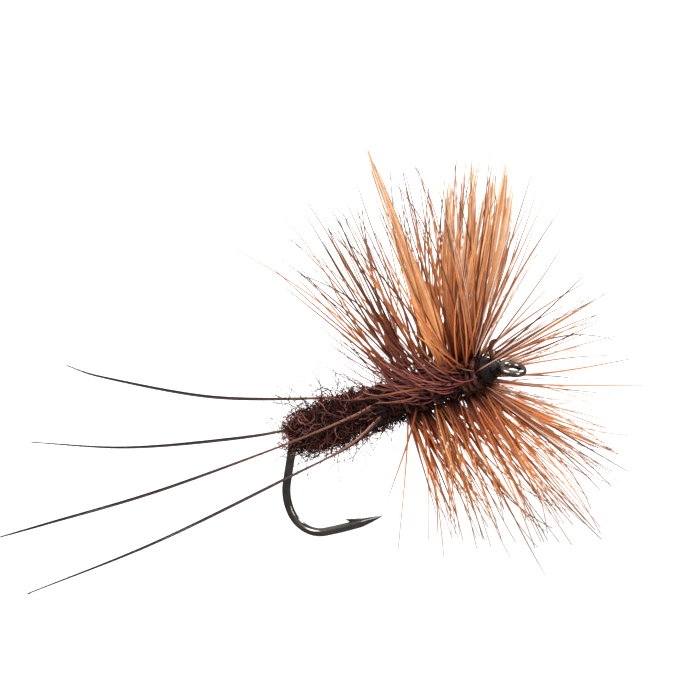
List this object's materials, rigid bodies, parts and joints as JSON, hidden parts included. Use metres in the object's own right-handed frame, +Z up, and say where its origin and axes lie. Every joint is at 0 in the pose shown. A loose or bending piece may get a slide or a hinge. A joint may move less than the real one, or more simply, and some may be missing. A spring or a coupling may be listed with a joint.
{
  "type": "dry fly",
  "caption": "Winged mayfly dry fly on a long-shank hook: dubbed brown body, four long tail fibres, upright orange wings and ginger hackle.",
  "frame": {"origin": "on the surface the fly stands on, under the middle of its length and in the plane of the hook", "axes": "+X from tail to head, +Y to the fly's left, +Z up"},
  "size_m": [0.0404, 0.0251, 0.0279],
  "materials": {
    "hook_steel": "bronzed, polished",
    "tying_thread": "waxed thread",
    "body_dubbing": "fuzzy spun fur",
    "tail_fibre": "smooth feather fibre",
    "wing_fibre": "soft feather slip",
    "hackle_barb": "stiff glossy feather barb",
    "hackle_quill": "horny quill",
    "head_lacquer": "high gloss lacquer"
  },
  "bodies": {
    "root": {"hook": "hook_steel", "thread_underbody": "tying_thread", "tail_left_upper": "tail_fibre", "tail_left_lower": "tail_fibre", "tail_right_upper": "tail_fibre", "tail_right_lower": "tail_fibre", "tail_tie_wraps": "tying_thread", "abdomen_dubbing": "body_dubbing", "thorax_dubbing": "body_dubbing", "right_wing": "wing_fibre", "left_wing": "wing_fibre", "wing_tie_wraps": "tying_thread", "rear_hackle_quill": "hackle_quill", "rear_hackle_barbs": "hackle_barb", "front_hackle_quill": "hackle_quill", "front_hackle_barbs": "hackle_barb", "hackle_tie_wraps": "tying_thread", "quill_stub": "hackle_quill", "thread_head": "tying_thread", "head_cement": "head_lacquer"}
  },
  "joints": []
}
